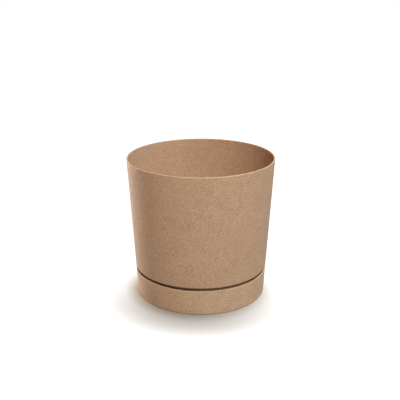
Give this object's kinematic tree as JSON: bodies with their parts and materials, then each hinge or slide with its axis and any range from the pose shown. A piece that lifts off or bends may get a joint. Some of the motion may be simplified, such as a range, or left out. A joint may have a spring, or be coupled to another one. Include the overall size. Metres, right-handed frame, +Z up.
{
  "type": "round plant pot",
  "caption": "Round tapered plant pot with drainage holes, standing in a matching saucer whose wall carries on the pot's taper below an open groove.",
  "frame": {"origin": "on the table, at the centre of the saucer's foot", "axes": "+Z up along the axis of revolution; the pot is alike all round, and +X runs through one of the saucer's ribs"},
  "size_m": [0.147, 0.147, 0.141],
  "materials": {
    "wood_fibre_plastic": "light brown plastic filled with fine wood fibre, matt, with small lighter and darker specks"
  },
  "bodies": {
    "saucer": {"saucer": "wood_fibre_plastic"},
    "pot": {"pot": "wood_fibre_plastic"}
  },
  "joints": [
    {"name": "pot_lift", "type": "slide", "parent": "saucer", "child": "pot", "axis": [0, 0, 1], "range_m": [0, 0.06]}
  ]
}
